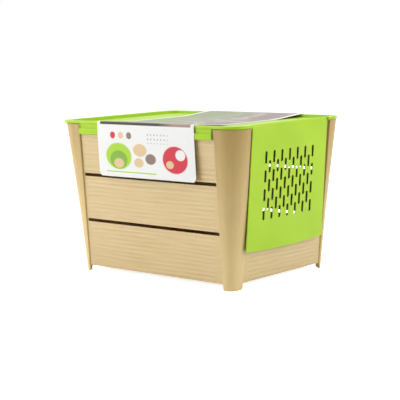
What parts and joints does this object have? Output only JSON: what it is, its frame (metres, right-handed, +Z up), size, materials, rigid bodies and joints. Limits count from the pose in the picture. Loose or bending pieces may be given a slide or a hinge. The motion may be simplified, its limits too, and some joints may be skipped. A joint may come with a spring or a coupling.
{
  "type": "potato storage bin",
  "caption": "Tapered storage bin of slotted, wood-grained boards between round corner posts, with a lift-off lid, a fold-down slotted flap over an end window and a card sleeve.",
  "frame": {"origin": "on the surface the bin stands on, under the middle of the lid", "axes": "+X along the long side towards the end with the flap, +Z up, +Y towards the back long side"},
  "size_m": [0.3396, 0.254, 0.2278],
  "materials": {
    "grained_plastic": "matte, moulded wood grain, straw beige",
    "green_plastic": "fine satin, yellow green",
    "printed_card": null
  },
  "bodies": {
    "bin": {"floor_plate": "grained_plastic", "post_front_flap_end": "grained_plastic", "post_back_flap_end": "grained_plastic", "post_front_plain_end": "grained_plastic", "post_back_plain_end": "grained_plastic", "front_board_top": "grained_plastic", "front_board_middle": "grained_plastic", "front_board_bottom": "grained_plastic", "back_board_top": "grained_plastic", "back_board_middle": "grained_plastic", "back_board_bottom": "grained_plastic", "end_board_top": "grained_plastic", "end_board_middle": "grained_plastic", "end_board_bottom": "grained_plastic", "window_wall": "grained_plastic"},
    "lid": {"lid_panel": "green_plastic", "clip_strip_front": "green_plastic", "clip_strip_back": "green_plastic", "hinge_film": "green_plastic", "card_sleeve": "printed_card"},
    "flap": {"flap": "green_plastic"}
  },
  "joints": [
    {"name": "lid_lift", "type": "slide", "parent": "bin", "child": "lid", "axis": [0.118, 0, 0.993], "range_m": [0, 0.18]},
    {"name": "flap_hinge", "type": "hinge", "parent": "lid", "child": "flap", "pos_m": [0.16537, 0, 0.22537], "axis": [0, -1, 0], "range_deg": [0, 180]}
  ]
}
